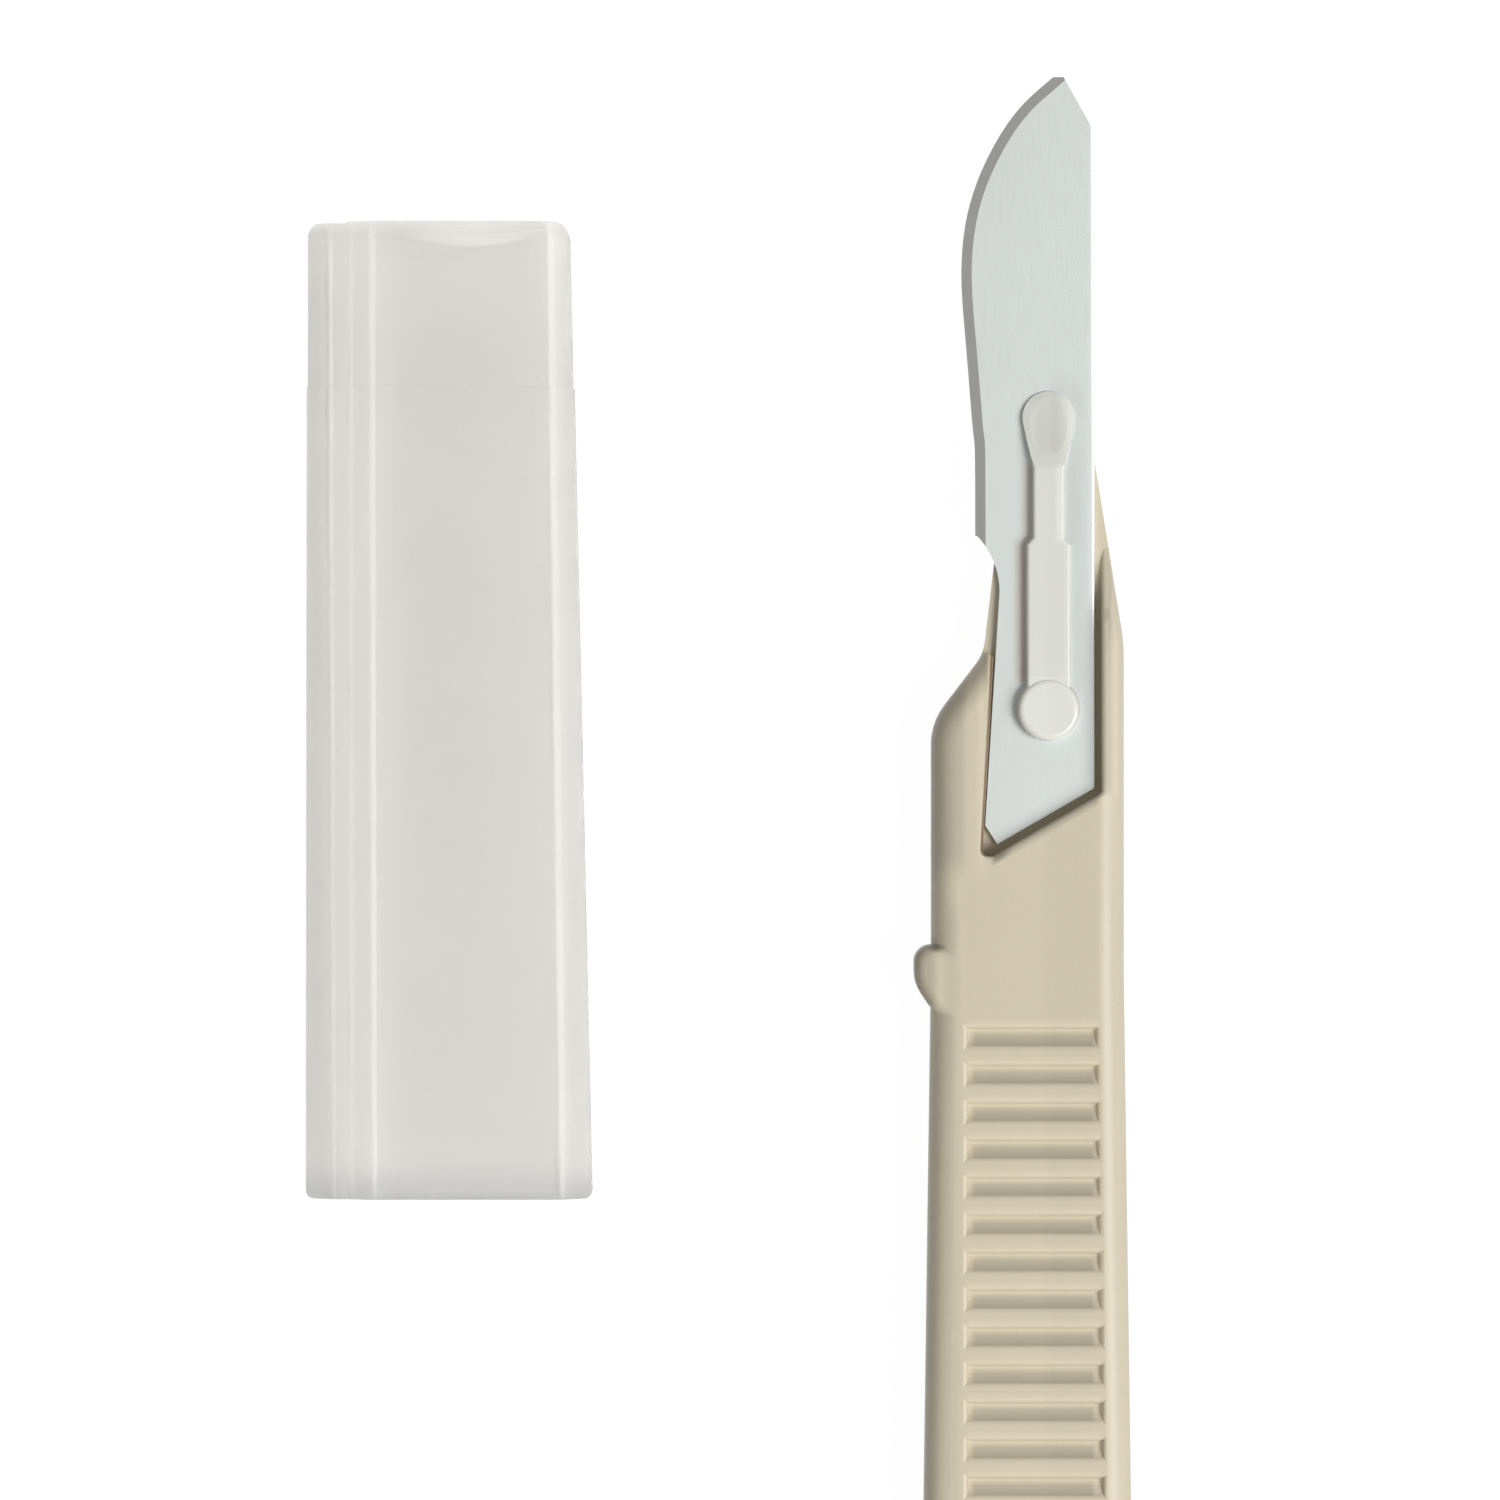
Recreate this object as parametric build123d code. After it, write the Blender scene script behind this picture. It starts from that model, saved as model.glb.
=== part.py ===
from build123d import *
import math
import os

# A disposable scalpel with its blade guard taken off and laid beside it. Sizes are in millimetres.
# The scalpel lies flat on its underside, with its point towards +Y, the back of its blade towards
# +X and +Z up. The origin is on the underside, on the handle's centre line, level with the stop
# lug. Places along the scalpel are distances behind the blade's point, and places across it are
# distances from the centre line, unless a comment says otherwise.

# Blade: lengths one after the other from the point, and reaches from the slot's axis
CUTTING_LENGTH = 24.5
NOTCH_LENGTH = 3.0
TANG_LENGTH = 13.5
BLADE_THICKNESS = 0.4
SLOT_AXIS = 1.12
SPINE_REACH = 2.52
CLIP_REACH = 2.40
CLIP_LENGTH = 2.85
POINT_REACH = 0.80
POINT_BLUNT = 0.24
EDGE_PLACES = [
    (-1.20, 1.28), (-3.02, 3.85), (-4.30, 7.16), (-4.66, 10.15), (-4.41, 14.38), (-4.04, 18.92),
]
POINT_TANGENT = (-0.75, -0.66)
HEEL_TANGENT = (0.0, -1.0)
HEEL_REACH = -3.92
HEEL_STEP = 0.15
NOTCH_REACH = -2.62
TANG_REACH = -3.39
TANG_CORNER_RUN = 1.0
TANG_CORNER_CUT = 0.65
TANG_SLOPE = 30.0
EDGE_GRIND = 0.55
EDGE_LEFT = 0.02
SPINE_ROLL = 0.14

# Keyhole boss, moulded on the handle's tongue and spread over the blade
BOSS_BEFORE_NOTCH = 10.7
HEAD_RADIUS = 1.4
HEAD_TAPER = 2.7
BOSS_NECK_LENGTH = 3.7
BOSS_NECK_REACH = 0.87
BOSS_STEP_LENGTH = 0.4
BOSS_BODY_LENGTH = 8.8
BOSS_BODY_REACH = 1.2
BUTTON_RADIUS = 1.7
BOSS_HEIGHT = 0.65
BUTTON_STEP = 0.1
BUTTON_EDGE = 0.35
HEAD_FRONT_HEIGHT = 0.08
DISH_HALF_WIDTH = 1.0
DISH_HALF_LENGTH = 1.55
DISH_DEPTH = 0.08
DISH_BEHIND_CENTRE = 0.45
BOSS_EDGE = 0.2
BOSS_LAP = 0.2
STEM_CLEARANCE = 0.03

# Handle, one moulding
HANDLE_THICKNESS = 4.5
NECK_HALF_WIDTH = 5.15
GRIP_HALF_WIDTH = 5.75
BUTT_HALF_WIDTH = 4.7
REAR_LENGTH = 56.7
EDGE_ROLL = 1.35
BUTT_CORNER = 3.6
TAPER_BLEND = 200.0

# Nose, whose places are given from the notch's rear end
TONGUE_LAND = 1.2
TONGUE_HALF_WIDTH = 1.68
TONGUE_CORNER = 1.5
TONGUE_THICKNESS = 1.7
NOSE_LEFT_REACH = -2.32
NOSE_LEFT_PLACE = 3.3
NOSE_LEFT_BLEND = 2.5
NOSE_RIGHT_PLACE = 2.75
NOSE_RIGHT_BLEND = 8.0
SHOULDER_PLACE = 7.0
SHOULDER_BLEND = 3.5
RAMP_FOOT_PLACE = -2.3
RAMP_CREST_PLACE = 2.0
UNDERCUT_PLACE = 8.5

# Pocket that takes the blade's tang
SEAT_DEPTH = 1.4
POCKET_SIDE_GAP = 0.3
POCKET_END_GAP = 0.42
POCKET_EDGE_GAP = 0.12
POCKET_CORNER = 0.4
POCKET_MOUTH_PLACE = 3.5
POCKET_MOUTH_FLARE = 0.6
POCKET_RIM = 0.22

# Stop lug on the cutting side, whose lengths are given from its middle
LUG_BEHIND_BLADE = 6.8
LUG_PROUD = 0.92
LUG_FRONT = 1.5
LUG_FLAT = 0.65
LUG_FOOT = 1.8
LUG_ROOT = 4.0
LUG_FOOT_PROUD = 0.15
LUG_FRONT_CORNER = 0.9
LUG_REAR_CORNER = 2.2
LUG_ROLL = 0.6
LUG_LAP = 0.3
LUG_SLANT = 0.3

# Grip grooves, the same on both faces: a steep wall in front, and a floor that curves up behind it.
# Their corners' heights are given from the face down, and their rims rise a little beyond it.
GROOVES_BEHIND_LUG = 3.5
GROOVE_COUNT = 20
GROOVE_PITCH = 2.0
GROOVE_WIDTH = 1.12
GROOVE_DEPTH = 0.36
GROOVE_WALL_RUN = 0.16
GROOVE_SLOPE_RUN = 0.38
GROOVE_SLOPE_DEPTH = 0.30
GROOVE_LIP = 0.25
GROOVE_FOOT = 0.15
GROOVE_FLOOR = 1.0
GROOVE_EXIT = 0.35
GROOVE_EASE = 0.02
GROOVE_LEAD = 0.12
GROOVE_LEFT = -3.3
GROOVE_RIGHT_MARGIN = 1.46

# Blade guard, a hollow cap with a low channel along its left side
GUARD_WALL = 0.85
GUARD_CLEARANCE = 0.4
GUARD_SIDE_CLEARANCE = 0.51
GUARD_POINT_CLEARANCE = 4.5
GUARD_ASIDE = 23.26
GUARD_BEHIND_POINT = 7.8
GUARD_RIGHT_DRAFT = 1.16
GUARD_LEFT_DRAFT = 0.07
CHANNEL_WIDTH = 2.25
CHANNEL_SLOPE = 1.17
CHANNEL_STEP = 0.6
LEFT_BEVEL_CLOSED = 0.96
LEFT_BEVEL_OPEN = 1.38
RIGHT_BEVEL_CLOSED = 1.12
RIGHT_BEVEL_OPEN = 1.62
COLLAR_LENGTH = 8.8
COLLAR_STEP = 0.06
CLOSED_ROLL = 0.9
OPEN_ROLL = 0.45
CREASE_ROLL = 0.2
ROLL_STEPS = 6
END_WALL = 1.3
END_CROWN = 0.7
END_CROWN_REACH = 4.1
CHANNEL_SETBACK = 0.12
MOUTH_RELIEF = 0.2
MOUTH_RELIEF_LENGTH = 1.45
MOUTH_RELIEF_WIDTH = 8.3

# Stations that follow from the sizes above
HEEL = CUTTING_LENGTH
NOTCH_END = HEEL + NOTCH_LENGTH
BLADE_LENGTH = NOTCH_END + TANG_LENGTH
LUG_MIDDLE = BLADE_LENGTH + LUG_BEHIND_BLADE
FIRST_GROOVE = LUG_MIDDLE + GROOVES_BEHIND_LUG
GRIP_END = FIRST_GROOVE + GROOVE_COUNT * GROOVE_PITCH
OVERALL_LENGTH = GRIP_END + REAR_LENGTH
HEAD_CENTRE = NOTCH_END - BOSS_BEFORE_NOTCH + HEAD_RADIUS
BOSS_NECK_FRONT = HEAD_CENTRE + HEAD_TAPER
BOSS_NECK_REAR = BOSS_NECK_FRONT + BOSS_NECK_LENGTH
BOSS_BODY_FRONT = BOSS_NECK_REAR + BOSS_STEP_LENGTH
BUTTON_CENTRE = BOSS_BODY_FRONT + BOSS_BODY_LENGTH
TONGUE_FRONT = HEAD_CENTRE - HEAD_RADIUS - TONGUE_LAND
SEAT = HANDLE_THICKNESS - SEAT_DEPTH
BLADE_TOP = SEAT + BLADE_THICKNESS
SPINE = SLOT_AXIS + SPINE_REACH
GUARD_HALF_HEIGHT = HANDLE_THICKNESS / 2 + GUARD_CLEARANCE + GUARD_WALL
GUARD_MAIN_WIDTH = 2 * (NECK_HALF_WIDTH + GUARD_SIDE_CLEARANCE + GUARD_WALL)
GUARD_LENGTH = LUG_MIDDLE - LUG_FRONT + GUARD_POINT_CLEARANCE + END_WALL
GUARD_MOUTH = GUARD_BEHIND_POINT + GUARD_LENGTH
GUARD_FOOT = -GUARD_ASIDE - GUARD_MAIN_WIDTH
LUG_INNER = EDGE_ROLL + LUG_ROLL + LUG_LAP - NECK_HALF_WIDTH
PAST = 3.0


def at(x, back, z=0.0):
    """The point that lies across, behind the blade's point and up by these distances."""
    return (x, LUG_MIDDLE - back, z)


def plate(points, radii, height, base=0.0):
    """A flat piece with the given outline, and a radius at each of its corners."""
    outline = FilletPolyline(*[at(x, back) for x, back in points], radius=radii, close=True)
    return Pos(0, 0, base) * extrude(make_face(outline.edges()), height)


def side_bar(points, half_width):
    """A bar along X whose outline is given as places along the scalpel and heights."""
    outline = Polyline(*[at(0, back, z) for back, z in points], close=True)
    return extrude(make_face(outline.edges()), half_width, dir=(1, 0, 0), both=True)


def flat_edges(body):
    """The edges round the lowest and the highest face of a flat piece."""
    faces = body.faces().sort_by(Axis.Z)
    return faces[0].edges() + faces[-1].edges()


def tang_end(x, gap=0.0):
    """Where the tang's slanted end lies at x, or the pocket's wall a gap behind it."""
    slope = math.radians(TANG_SLOPE)
    corner = SLOT_AXIS + TANG_REACH + TANG_CORNER_CUT
    return BLADE_LENGTH + (corner - x) * math.tan(slope) + gap / math.cos(slope)


def tang_edge(back, gap=0.0):
    """Where the tang's cutting-side edge lies, or the pocket's wall a gap beside it."""
    share = (back - NOTCH_END) / (TANG_LENGTH - TANG_CORNER_RUN)
    return SLOT_AXIS + NOTCH_REACH + (TANG_REACH - NOTCH_REACH) * share - gap


def stalk_outline(inset=0.0):
    """The boss's front head, neck and body seen from above, drawn smaller by the inset."""
    radius = HEAD_RADIUS - inset
    neck = BOSS_NECK_REACH - inset
    body = BOSS_BODY_REACH - inset
    turn = math.atan2(neck, HEAD_TAPER) + math.acos(radius / math.hypot(neck, HEAD_TAPER))
    half = [
        (radius * math.sin(turn), HEAD_CENTRE + radius * math.cos(turn)),
        (neck, BOSS_NECK_FRONT),
        (neck, BOSS_NECK_REAR),
        (body, BOSS_BODY_FRONT),
        (body, BUTTON_CENTRE),
    ]
    right = [at(SLOT_AXIS + reach, back) for reach, back in half]
    left = [at(SLOT_AXIS - reach, back) for reach, back in reversed(half)]
    sides = Polyline(*right, *left)
    front = ThreePointArc(left[-1], at(SLOT_AXIS, HEAD_CENTRE - radius), right[0])
    return make_face(sides.edges() + front.edges())


def button_outline(inset=0.0):
    """The boss's round rear end seen from above, drawn smaller by the inset."""
    return Pos(*at(SLOT_AXIS, BUTTON_CENTRE)) * Circle(BUTTON_RADIUS - inset)


def make_boss():
    """The boss: a stem through the blade's slot, and a head that laps over the blade."""
    inset = BOSS_LAP + STEM_CLEARANCE
    stem = extrude(stalk_outline(inset) + button_outline(inset), BLADE_THICKNESS)
    head = extrude(stalk_outline(), BOSS_HEIGHT)
    head = fillet(head.faces().sort_by(Axis.Z)[-1].edges(), BOSS_EDGE)
    button = extrude(button_outline(), BOSS_HEIGHT + BUTTON_STEP)
    button = fillet(button.faces().sort_by(Axis.Z)[-1].edges(), BUTTON_EDGE)

    # The front of the head falls towards the point and has a long shallow dish in it
    front = HEAD_CENTRE - HEAD_RADIUS
    fall = (BOSS_HEIGHT - HEAD_FRONT_HEIGHT) / (BOSS_NECK_FRONT - front)
    ahead = front - PAST
    above = BOSS_HEIGHT + PAST
    ramp = side_bar(
        [(ahead, HEAD_FRONT_HEIGHT - fall * PAST), (BOSS_NECK_FRONT, BOSS_HEIGHT),
         (BOSS_NECK_FRONT, above), (ahead, above)],
        SLOT_AXIS + HEAD_RADIUS + PAST)
    share = math.sqrt(1 - (1 - DISH_DEPTH) ** 2)
    bowl = scale(Sphere(1), by=(DISH_HALF_WIDTH / share, DISH_HALF_LENGTH / share, 1))
    place = HEAD_CENTRE + DISH_BEHIND_CENTRE
    level = HEAD_FRONT_HEIGHT + fall * (place - front)
    tilt = Rot(-math.degrees(math.atan(fall)), 0, 0)
    dish = Pos(*at(SLOT_AXIS, place, level)) * tilt * Pos(0, 0, 1 - DISH_DEPTH) * bowl
    spread = Pos(0, 0, BLADE_TOP) * (head - ramp - dish + button)
    return Pos(0, 0, SEAT) * stem + spread


def handle_blank():
    """The handle's outline with rolled edges, before anything is cut from it."""
    half = [
        (NECK_HALF_WIDTH, LUG_MIDDLE), (GRIP_HALF_WIDTH, GRIP_END), (BUTT_HALF_WIDTH, OVERALL_LENGTH),
    ]
    half_radii = [TAPER_BLEND, TAPER_BLEND, BUTT_CORNER]
    left = [
        (SLOT_AXIS - TONGUE_HALF_WIDTH, TONGUE_FRONT),
        (NOSE_LEFT_REACH, NOTCH_END + NOSE_LEFT_PLACE),
        (-NECK_HALF_WIDTH, NOTCH_END + SHOULDER_PLACE),
    ] + [(-reach, back) for reach, back in half]
    right = half[::-1] + [
        (NECK_HALF_WIDTH, NOTCH_END + NOSE_RIGHT_PLACE),
        (SLOT_AXIS + TONGUE_HALF_WIDTH, TONGUE_FRONT),
    ]
    left_radii = [TONGUE_CORNER, NOSE_LEFT_BLEND, SHOULDER_BLEND] + half_radii
    right_radii = half_radii[::-1] + [NOSE_RIGHT_BLEND, TONGUE_CORNER]
    blank = plate(left + right, left_radii + right_radii, HANDLE_THICKNESS)
    return fillet(flat_edges(blank), EDGE_ROLL)


def stop_lug():
    """The bump on the cutting side that stops the guard, flush with both faces."""
    outer = -NECK_HALF_WIDTH - LUG_PROUD
    points = [
        (LUG_INNER, LUG_MIDDLE - LUG_FRONT + LUG_SLANT),
        (outer, LUG_MIDDLE - LUG_FRONT),
        (outer, LUG_MIDDLE + LUG_FLAT),
        (-NECK_HALF_WIDTH - LUG_FOOT_PROUD, LUG_MIDDLE + LUG_FOOT),
        (LUG_INNER, LUG_MIDDLE + LUG_ROOT),
    ]
    lug = plate(points, [0, LUG_FRONT_CORNER, LUG_REAR_CORNER, 0, 0], HANDLE_THICKNESS)
    return fillet(flat_edges(lug), LUG_ROLL)


def groove_cutter(middle, left, right):
    """The cutter of one groove: its section along the handle, met by its section across it."""
    front = middle - GROOVE_WIDTH / 2
    rear = middle + GROOVE_WIDTH / 2
    clear = GROOVE_LEAD * PAST
    along = [
        (front - PAST, clear), (front, -GROOVE_EASE), (front + GROOVE_WALL_RUN, -GROOVE_DEPTH),
        (rear - GROOVE_SLOPE_RUN, -GROOVE_SLOPE_DEPTH), (rear, -GROOVE_EASE), (rear + PAST, clear),
    ]
    across = [
        (left - PAST, clear), (left, -GROOVE_EASE), (left + 2 * GROOVE_WALL_RUN, -2 * GROOVE_DEPTH),
        (right - 2 * GROOVE_WALL_RUN, -2 * GROOVE_DEPTH), (right, -GROOVE_EASE), (right + PAST, clear),
    ]
    along_radii = [0, GROOVE_LIP, GROOVE_FOOT, GROOVE_FLOOR, GROOVE_EXIT, 0]
    across_radii = [0, GROOVE_LIP, 0, 0, GROOVE_LIP, 0]
    side = FilletPolyline(*[at(0, back, HANDLE_THICKNESS + z) for back, z in along],
                          radius=along_radii, close=True)
    end = FilletPolyline(*[at(x, middle, HANDLE_THICKNESS + z) for x, z in across],
                         radius=across_radii, close=True)
    bar = extrude(make_face(side.edges()), 2 * GRIP_HALF_WIDTH, dir=(1, 0, 0), both=True)
    return bar & extrude(make_face(end.edges()), PAST, dir=(0, 1, 0), both=True)


def cut_grooves(body):
    """The grip: a row of grooves with soft rims in the upper face, longer as the handle widens."""
    cutters = []
    for index in range(GROOVE_COUNT):
        back = FIRST_GROOVE + index * GROOVE_PITCH
        share = (back - LUG_MIDDLE) / (GRIP_END - LUG_MIDDLE)
        side = NECK_HALF_WIDTH + (GRIP_HALF_WIDTH - NECK_HALF_WIDTH) * share
        cutters.append(groove_cutter(back, GROOVE_LEFT, side - GROOVE_RIGHT_MARGIN))
    return body - cutters


def nose_cuts():
    """What is taken off the nose: above the ramp to the tongue, and along its underside."""
    ahead = TONGUE_FRONT - PAST
    above = HANDLE_THICKNESS + PAST
    reach = NECK_HALF_WIDTH + PAST
    foot = NOTCH_END + RAMP_FOOT_PLACE
    crest = NOTCH_END + RAMP_CREST_PLACE
    ramp = side_bar(
        [(ahead, SEAT), (foot, SEAT), (crest, HANDLE_THICKNESS), (crest, above), (ahead, above)],
        reach)
    end = NOTCH_END + UNDERCUT_PLACE
    rise = (SEAT - TONGUE_THICKNESS) * (end - ahead) / (end - TONGUE_FRONT)
    under = side_bar([(ahead, rise), (end, 0), (end, -PAST), (ahead, -PAST)], reach)
    return ramp + under


def pocket():
    """The room for the tang, open over the tongue and walled round the tang's rear."""
    ahead = TONGUE_FRONT - PAST
    right = SPINE + POCKET_SIDE_GAP
    left = tang_edge(BLADE_LENGTH, POCKET_EDGE_GAP)
    mouth = NOTCH_END + POCKET_MOUTH_PLACE
    points = [
        (right, ahead),
        (right, tang_end(right, POCKET_END_GAP)),
        (left, tang_end(left, POCKET_END_GAP)),
        (tang_edge(mouth, POCKET_EDGE_GAP), mouth),
        (NOSE_LEFT_REACH - POCKET_MOUTH_FLARE, mouth - POCKET_MOUTH_FLARE),
        (-NECK_HALF_WIDTH, mouth - PAST),
        (-NECK_HALF_WIDTH, ahead),
    ]
    radii = [0, POCKET_CORNER, POCKET_CORNER, 0, 0, 0, 0]
    return plate(points, radii, SEAT_DEPTH + PAST, SEAT)


def pocket_rim(body):
    """The edges round the pocket's mouth, along its right, rear and left walls."""
    right = SPINE + POCKET_SIDE_GAP
    left = tang_edge(BLADE_LENGTH, POCKET_EDGE_GAP)

    def on_rim(edge):
        middle = edge.center()
        back = LUG_MIDDLE - middle.Y
        if middle.Z < SEAT + BLADE_THICKNESS or abs(edge.tangent_at(0.5).Z) > 0.9:
            return False
        on_right = abs(middle.X - right) < POCKET_CORNER
        on_left = abs(middle.X - tang_edge(back, POCKET_EDGE_GAP)) < POCKET_EDGE_GAP
        on_end = abs(back - tang_end(middle.X, POCKET_END_GAP)) < POCKET_CORNER
        return (on_right or on_left or on_end) and left <= middle.X <= right + POCKET_EDGE_GAP

    edges = body.edges().filter_by_position(Axis.Y, at(0, LUG_MIDDLE - LUG_FRONT)[1], LUG_MIDDLE)
    return edges.filter_by(on_rim)


def make_handle():
    """The whole moulding: rolled body, lug, grooves on both faces, nose, pocket and boss."""
    middle = Plane.XY.offset(HANDLE_THICKNESS / 2)
    body = cut_grooves(handle_blank() + stop_lug())
    upper = split(body, middle, keep=Keep.TOP)
    body = upper + mirror(upper, middle)
    body = body - nose_cuts() - pocket()
    body = fillet(pocket_rim(body), POCKET_RIM)
    return body + make_boss()


def make_blade():
    """The blade: a plate with a curved ground edge, a notch, a tang and a keyhole slot."""
    heel = at(SLOT_AXIS + HEEL_REACH, HEEL)
    blunt = at(SLOT_AXIS + POINT_BLUNT, 0)
    notch_end = at(SLOT_AXIS + NOTCH_REACH, NOTCH_END)
    corner_front = BLADE_LENGTH - TANG_CORNER_RUN
    along_edge = [at(SLOT_AXIS + reach, back) for reach, back in EDGE_PLACES]
    edge = Spline(blunt, *along_edge, heel, tangents=[POINT_TANGENT, HEEL_TANGENT])
    notch = TangentArc(notch_end, at(SLOT_AXIS + HEEL_REACH + HEEL_STEP, HEEL + HEEL_STEP / 2),
                       tangent=(0, 1))
    step = Line(heel, notch @ 1)
    rest = Polyline(
        notch_end,
        at(tang_edge(corner_front), corner_front),
        at(SLOT_AXIS + TANG_REACH + TANG_CORNER_CUT, BLADE_LENGTH),
        at(SPINE, tang_end(SPINE)),
        at(SLOT_AXIS + CLIP_REACH, CLIP_LENGTH),
        at(SLOT_AXIS + POINT_REACH, 0),
        blunt)
    outline = edge.edges() + step.edges() + notch.edges() + rest.edges()
    blade = extrude(make_face(outline), BLADE_THICKNESS)
    depth = (BLADE_THICKNESS - EDGE_LEFT) / 2
    for side in (0, -1):
        face = blade.faces().sort_by(Axis.Z)[side]
        cutting = face.edges().filter_by(GeomType.BSPLINE).sort_by(SortBy.LENGTH)[-1]
        blade = chamfer(cutting, EDGE_GRIND, depth, reference=face)
    spine = blade.faces().filter_by(GeomType.PLANE).sort_by(Axis.X)[-1]
    blade = fillet(spine.edges().sort_by(SortBy.LENGTH)[-2:], SPINE_ROLL)
    slot = stalk_outline(BOSS_LAP) + button_outline(BOSS_LAP)
    return Pos(0, 0, SEAT) * (blade - extrude(slot, BLADE_THICKNESS))


def guard_section(back, inset=0.0):
    """The guard's outline across, at a place along it, drawn smaller by the inset."""
    share = (GUARD_MOUTH - back) / GUARD_LENGTH
    right = -GUARD_ASIDE - GUARD_RIGHT_DRAFT * share
    left = GUARD_FOOT - CHANNEL_WIDTH + GUARD_LEFT_DRAFT * share
    left_bevel = LEFT_BEVEL_OPEN + (LEFT_BEVEL_CLOSED - LEFT_BEVEL_OPEN) * share
    right_bevel = RIGHT_BEVEL_OPEN + (RIGHT_BEVEL_CLOSED - RIGHT_BEVEL_OPEN) * share
    tall = GUARD_HALF_HEIGHT
    low = tall - CHANNEL_STEP
    upper = [
        (left, low - left_bevel), (left + left_bevel, low), (GUARD_FOOT, low),
        (GUARD_FOOT + CHANNEL_SLOPE, tall), (right - right_bevel, tall), (right, tall - right_bevel),
    ]
    lower = [(x, -z) for x, z in reversed(upper)]
    face = make_face(Polyline(*upper, *lower, close=True).edges())
    if inset:
        face = offset(face, -inset, kind=Kind.INTERSECTION)
    face = fillet(face.vertices(), CREASE_ROLL)
    return Plane(origin=at(0, back, tall), x_dir=(1, 0, 0), z_dir=(0, -1, 0)) * face


def rolled_end(end, roll, inward, inset=0.0):
    """Outlines from a rounded end face inward along the guard, on a quarter circle."""
    sections = []
    for step in range(ROLL_STEPS):
        turn = math.pi / 2 * step / ROLL_STEPS
        back = end + inward * roll * (1 - math.cos(turn))
        sections.append(guard_section(back, inset + roll * (1 - math.sin(turn))))
    return sections


def guard_outside():
    """The guard's outer form: a slightly smaller collar at the closed end, then the main length."""
    collar_end = GUARD_BEHIND_POINT + COLLAR_LENGTH
    sections = rolled_end(GUARD_BEHIND_POINT, CLOSED_ROLL, 1, COLLAR_STEP) + [
        guard_section(GUARD_BEHIND_POINT + CLOSED_ROLL, COLLAR_STEP),
        guard_section(collar_end, COLLAR_STEP),
        guard_section(collar_end + COLLAR_STEP),
        guard_section(GUARD_MOUTH - OPEN_ROLL),
    ] + rolled_end(GUARD_MOUTH, OPEN_ROLL, -1)[::-1]
    return loft(sections, ruled=True)


def guard_room():
    """The room inside the guard, whose front wall is crowned towards the mouth."""
    end = GUARD_BEHIND_POINT + END_WALL
    front = guard_section(end - END_CROWN, GUARD_WALL)
    rear = guard_section(GUARD_MOUTH + PAST, GUARD_WALL)
    room = loft([front, rear], ruled=True)
    radius = (END_CROWN_REACH ** 2 + END_CROWN ** 2) / (2 * END_CROWN)
    middle = GUARD_FOOT + GUARD_MAIN_WIDTH / 2
    crown = Cylinder(radius, 2 * GUARD_HALF_HEIGHT)
    return room - Pos(*at(middle, end - radius, GUARD_HALF_HEIGHT)) * crown


def mouth_relief():
    """The lead-in just inside the guard's mouth, in its upper and its lower wall."""
    inside = 2 * GUARD_HALF_HEIGHT - GUARD_WALL
    front = GUARD_MOUTH - MOUTH_RELIEF_LENGTH
    outside = GUARD_MOUTH + PAST
    wedge = side_bar(
        [(front, inside), (GUARD_MOUTH, inside + MOUTH_RELIEF), (outside, inside + MOUTH_RELIEF),
         (outside, GUARD_HALF_HEIGHT), (front, GUARD_HALF_HEIGHT)],
        MOUTH_RELIEF_WIDTH / 2)
    middle = GUARD_FOOT + GUARD_MAIN_WIDTH / 2
    upper = Pos(middle, 0, 0) * wedge
    return upper + mirror(upper, Plane.XY.offset(GUARD_HALF_HEIGHT))


def make_guard():
    """The hollow guard, open at its mouth, with its channel's end set back a little."""
    height = 2 * GUARD_HALF_HEIGHT
    setback = Pos(*at(GUARD_FOOT - CHANNEL_WIDTH, GUARD_BEHIND_POINT, GUARD_HALF_HEIGHT)) * Box(
        2 * CHANNEL_WIDTH, 2 * CHANNEL_SETBACK, height)
    return guard_outside() - setback - guard_room() - mouth_relief()


if __name__ == "__main__":
    os.makedirs("parts", exist_ok=True)
    pieces = {"handle": make_handle(), "blade": make_blade(), "blade_guard": make_guard()}
    for name, piece in pieces.items():
        export_step(piece, "parts/" + name + ".step")
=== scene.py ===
import math

import bpy
from bpy.props import FloatProperty, FloatVectorProperty, PointerProperty
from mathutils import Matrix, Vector


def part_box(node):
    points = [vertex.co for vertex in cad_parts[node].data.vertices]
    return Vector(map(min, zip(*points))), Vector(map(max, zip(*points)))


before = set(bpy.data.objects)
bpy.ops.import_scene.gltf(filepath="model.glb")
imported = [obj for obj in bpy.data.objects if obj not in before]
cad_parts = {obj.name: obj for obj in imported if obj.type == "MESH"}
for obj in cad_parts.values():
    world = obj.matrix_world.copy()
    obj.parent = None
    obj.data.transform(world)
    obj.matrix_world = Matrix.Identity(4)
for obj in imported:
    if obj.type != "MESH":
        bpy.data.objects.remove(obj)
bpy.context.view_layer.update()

bl_info = {
    "name": "Scalpel with its blade guard taken off",
    "version": (1, 0, 0),
    "blender": (4, 5, 0),
    "location": "3D View > Sidebar > Scalpel",
    "description": "Finishes the scalpel's handle, blade and guard, and lights them on a pale floor",
    "category": "Object",
}

MM = 0.001

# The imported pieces' lowest and highest corners in millimetres, in the scalpel's own frame
HANDLE_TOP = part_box("handle")[1][2] / MM
BLADE_LOW, BLADE_HIGH = [Vector(corner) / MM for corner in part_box("blade")]
GUARD_LOW, GUARD_HIGH = [Vector(corner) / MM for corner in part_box("blade_guard")]

# The places below are in millimetres. Y runs along the scalpel to the blade's point from the stop
# lug's middle, and X runs across it from the centre line to the side of the blade's back.

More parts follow.
